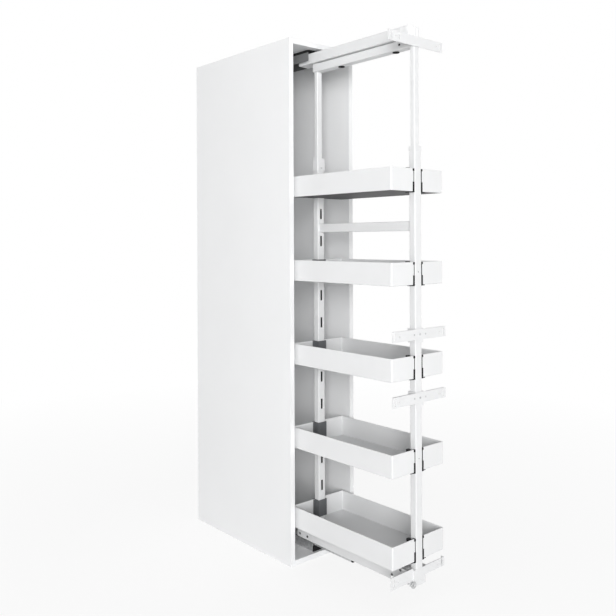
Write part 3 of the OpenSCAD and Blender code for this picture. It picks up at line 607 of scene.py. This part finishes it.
def tray_shell(node):
    """Folded tray: bent floor edges, walls, a hem turned in along the rim, and its two notches."""
    low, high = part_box(node)
    obj = block(low, high)
    pick(obj, "FACE", lambda face: near(face.center.z, high[2]))
    bpy.ops.mesh.delete(type="FACE")
    pick(obj, "EDGE", lambda edge: not near(ends(obj, edge)[0].z, ends(obj, edge)[1].z))
    bpy.ops.mesh.bevel(offset=TRAY_CORNER, segments=6, profile=0.5)
    pick(obj, "EDGE", lambda edge: all(near(c.z, low[2]) for c in ends(obj, edge)))
    bpy.ops.mesh.bevel(offset=TRAY_FOLD, segments=4, profile=0.5)

    pick(obj, "EDGE", lambda edge: all(near(c.z, high[2]) for c in ends(obj, edge)))
    ring_in(obj, 2.0 * WALL, 0.0)
    ring_in(obj, 0.0, HEM)
    ring_in(obj, -WALL, 0.0)
    ring_in(obj, 0.0, high[2] - low[2] - HEM - 2.0 * WALL)
    ring_in(obj, WALL, WALL)
    bpy.ops.mesh.edge_face_add()

    edit(obj, "EDGE")
    bpy.ops.mesh.edges_select_sharp(sharpness=math.radians(60.0))
    bpy.ops.mesh.bevel(offset=RIM_ROUND, segments=3, profile=0.5, clamp_overlap=True)
    edit(obj, "FACE")
    bpy.ops.mesh.select_all(action="SELECT")
    bpy.ops.mesh.normals_make_consistent(inside=False)
    only(obj)

    front, back = low[1], high[1]
    wall_in = front + 2.0 * WALL
    over = LIP_HIGH + 4.0 * PAST
    cuts = [
        (FRONT_NOTCH, wall_in, front + FRONT_NOTCH_DEPTH, -PAST, over),
        (FRONT_NOTCH, front - PAST, wall_in + PAST, -PAST, LIP_LOW),
        (FRONT_NOTCH, front - PAST, wall_in + PAST, LIP_HIGH, over),
        (FRONT_GAP, front - PAST, wall_in + PAST, -2.0 * PAST, over + 2.0 * PAST),
        (REAR_NOTCH, back - REAR_NOTCH_DEPTH, back + PAST, -PAST, over),
        (REAR_WALL_NOTCH, back - 3.0 * WALL, back + 2.0 * PAST, REAR_WALL_LOW, over + 2.0 * PAST),
    ]
    for half, y0, y1, z0, z1 in cuts:
        cut(obj, (-half, y0, low[2] + z0), (half, y1, low[2] + z1))
    ease(obj, FOLD_ROUND, 1, 50.0)
    return obj


one_per_tray(tray_shell("tray_1"), "tray", "_folded")


# ---------------------------------------------------------------- clips


def both_sides(near_x, far_x):
    """The two spans across the width from near_x to far_x, left and right of the middle."""
    return [(-far_x, -near_x), (near_x, far_x)]


def front_clip():
    """Saddle clip with a thin lip down both edges of the notch and finger ribs on its release knob."""
    obj = taken("front_clip_1")
    low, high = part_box("front_clip_1")
    _, face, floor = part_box("tray_1")[0]
    for x0, x1 in both_sides(FRONT_GAP - CLIP_LIP_IN, FRONT_GAP + CLIP_LIP_OUT):
        join(
            obj,
            (x0, face - CLIP_LIP_PROUD, floor + LIP_LOW - 1.0 * MM),
            (x1, face + CLIP_LIP_SUNK, floor + LIP_HIGH + 1.0 * MM),
        )
    knob = (low[0] + KNOB_PLACE[0], face + KNOB_PLACE[1], high[2] + KNOB_PLACE[2])
    combine(obj, rod(knob, KNOB_RADIUS, KNOB_HEIGHT), "UNION")
    top = knob[2] + 0.5 * KNOB_HEIGHT
    for k in range(KNOB_RIBS):
        x = knob[0] + (k - 0.5 * (KNOB_RIBS - 1)) * KNOB_RIB_PITCH
        cut(
            obj,
            (x - 0.5 * KNOB_RIB_GAP, knob[1] - KNOB_RADIUS - MM, top - KNOB_RIB_DEPTH),
            (x + 0.5 * KNOB_RIB_GAP, knob[1] + KNOB_RADIUS + MM, top + 0.5 * MM),
        )
    ease(obj, FRONT_CLIP_ROUND)
    return obj


def rear_clip():
    """Hook-in block with a finger recess and a row of shallow ribs down its front flange."""
    obj = taken("rear_clip_1")
    face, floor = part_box("rear_clip_1")[0][1:]
    for k in range(REAR_RIBS):
        z = floor + REAR_RIB_FIRST + k * REAR_RIB_PITCH
        for x0, x1 in both_sides(REAR_RIB_FROM, REAR_RIB_TO):
            cut(obj, (x0, face - MM, z), (x1, face + REAR_RIB_DEPTH, z + REAR_RIB_HEIGHT))
    ease(obj, REAR_CLIP_ROUND)
    return obj


for made, kind in [(front_clip(), "front_clip"), (rear_clip(), "rear_clip")]:
    one_per_tray(made, kind, "_moulded")


# ---------------------------------------------------------------- rails


def grooved_rail(node, z, height):
    """A rail with a shallow rolled groove from z up along both outer sides."""
    obj = taken(node)
    low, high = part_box(node)
    for x0, x1 in ((low[0] - MM, low[0] + GROOVE_DEPTH), (high[0] - GROOVE_DEPTH, high[0] + MM)):
        cut(obj, (x0, low[1] - MM, z), (x1, high[1] + MM, z + height))
    ease(obj, FOLD_ROUND)
    keep(obj, node + "_rolled", node)


grooved_rail("bottom_pull_out_rail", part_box("bottom_pull_out_rail")[1][2] - 14.0 * MM, 3.0 * MM)
grooved_rail("bottom_fixed_rail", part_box("bottom_fixed_rail")[0][2] + 8.0 * MM, 4.0 * MM)


# ---------------------------------------------------------------- pieces with eased edges

# Rounding of the edges, and the nodes that have it
EASE = {
    0.6 * MM: ["left_side_panel", "right_side_panel", "top_panel", "bottom_panel", "back_panel"],
    0.5 * MM: [
        "bottom_rail_cap", "middle_rail_stop", "top_tube_buffers", "bottom_door_plate",
        "top_door_plate", "upper_bracket_plate", "lower_bracket_plate", "front_collar", "rear_collar",
        "upper_bracket_clamp", "lower_bracket_clamp", "tilt_adjuster", "frame_screws", "rail_screws",
        "guide_roller_front_left", "guide_roller_front_right", "guide_roller_rear_left",
        "guide_roller_rear_right",
    ],
    0.3 * MM: ["bottom_middle_rail", GUIDE, "top_pull_out_rail"],
    0.2 * MM: [
        *TUBES, "collar_screws", "upper_bracket_screw", "lower_bracket_screw", "guide_roller_pins",
        "panel_dowels",
    ],
    0.8 * MM: ["bottom_bracket_casting", "top_end_block"],
}
for width, names in EASE.items():
    for name in names:
        eased(name, width)


# ---------------------------------------------------------------- floor, light and camera


def studio_floor():
    """Pale floor that keeps the object's shadow and runs out into the white of the backdrop."""
    bpy.ops.mesh.primitive_plane_add(size=60.0, location=(0.0, 0.0, -0.5 * MM))
    plane = bpy.context.object
    plane.name = "studio_floor"
    f = Finish("studio floor", 0.9)
    f.feed("Base Color", rgb(0.9))
    glow = f.node("ShaderNodeEmission", {}, {"Color": rgb(1.0), "Strength": 1.0})
    path = f.tree.nodes.new("ShaderNodeLightPath")
    seen = Value(f, path.outputs["Is Camera Ray"]).most(Value(f, path.outputs["Is Glossy Ray"]))
    away = f.node("ShaderNodeVectorMath", {"operation": "LENGTH"}, {0: f.place}, "Value")
    mixed = f.tree.nodes.new("ShaderNodeMixShader")
    f.link(seen * (0.86 + 0.14 * f.ramp(0.2 * away, 0.15, 0.6)), mixed.inputs[0])
    f.tree.links.new(f.shader.outputs[0], mixed.inputs[1])
    f.tree.links.new(glow.socket, mixed.inputs[2])
    f.tree.links.new(mixed.outputs[0], f.tree.nodes["Material Output"].inputs["Surface"])
    plane.data.materials.append(f.material)


def studio_world():
    """Soft even light, with a white backdrop where the camera or a gloss sees it."""
    world = bpy.data.worlds.new("studio")
    bpy.context.scene.world = world
    world.use_nodes = True
    tree = world.node_tree
    tree.nodes.clear()
    out = tree.nodes.new("ShaderNodeOutputWorld")
    path = tree.nodes.new("ShaderNodeLightPath")
    shown = tree.nodes.new("ShaderNodeMath")
    shown.operation = "MAXIMUM"
    tree.links.new(path.outputs["Is Camera Ray"], shown.inputs[0])
    tree.links.new(path.outputs["Is Glossy Ray"], shown.inputs[1])
    mixed = tree.nodes.new("ShaderNodeMixShader")
    tree.links.new(shown.outputs[0], mixed.inputs[0])
    for k, strength in ((1, 0.38), (2, 1.0)):
        light = tree.nodes.new("ShaderNodeBackground")
        light.inputs["Color"].default_value = rgb(1.0)
        light.inputs["Strength"].default_value = strength
        tree.links.new(light.outputs[0], mixed.inputs[k])
    tree.links.new(mixed.outputs[0], out.inputs["Surface"])


def lamp(name, place, target, size, power):
    """Round softbox that faces its target."""
    data = bpy.data.lights.new(name, "AREA")
    data.shape = "DISK"
    data.size = size
    data.energy = power
    obj = bpy.data.objects.new(name, data)
    bpy.context.scene.collection.objects.link(obj)
    obj.location = place
    obj.rotation_euler = (Vector(target) - Vector(place)).to_track_quat("-Z", "Y").to_euler()


def camera():
    """A level camera at the photograph's viewing angle, with the frame shifted down."""
    data = bpy.data.cameras.new("photo_camera")
    obj = bpy.data.objects.new("photo_camera", data)
    bpy.context.scene.collection.objects.link(obj)
    obj.matrix_world = (
        Matrix.Translation(PHOTO_PLACE)
        @ Matrix.Rotation(-PHOTO_TURN, 4, "Z")
        @ Matrix.Rotation(math.radians(90.0), 4, "X")
        @ Matrix.Rotation(PHOTO_ROLL, 4, "Z")
    )
    data.sensor_width = SENSOR
    data.lens = SENSOR * PHOTO_FOCAL / PHOTO_SIDE
    data.shift_y = (PHOTO_HORIZON - 0.5 * PHOTO_SIDE) / PHOTO_SIDE
    bpy.context.scene.camera = obj


studio_floor()
studio_world()
lamp("key softbox", (-5.1, -6.4, 1.9), (0.0, -0.3, 0.9), 3.8, 465.0)
lamp("near fill", (-2.4, -3.1, 1.5), (0.0, -0.4, 0.7), 1.8, 14.0)
lamp("back softbox", (2.9, 4.6, 2.6), (0.0, -0.3, 0.9), 4.6, 70.0)
camera()
bpy.context.scene.view_settings.view_transform = "Standard"
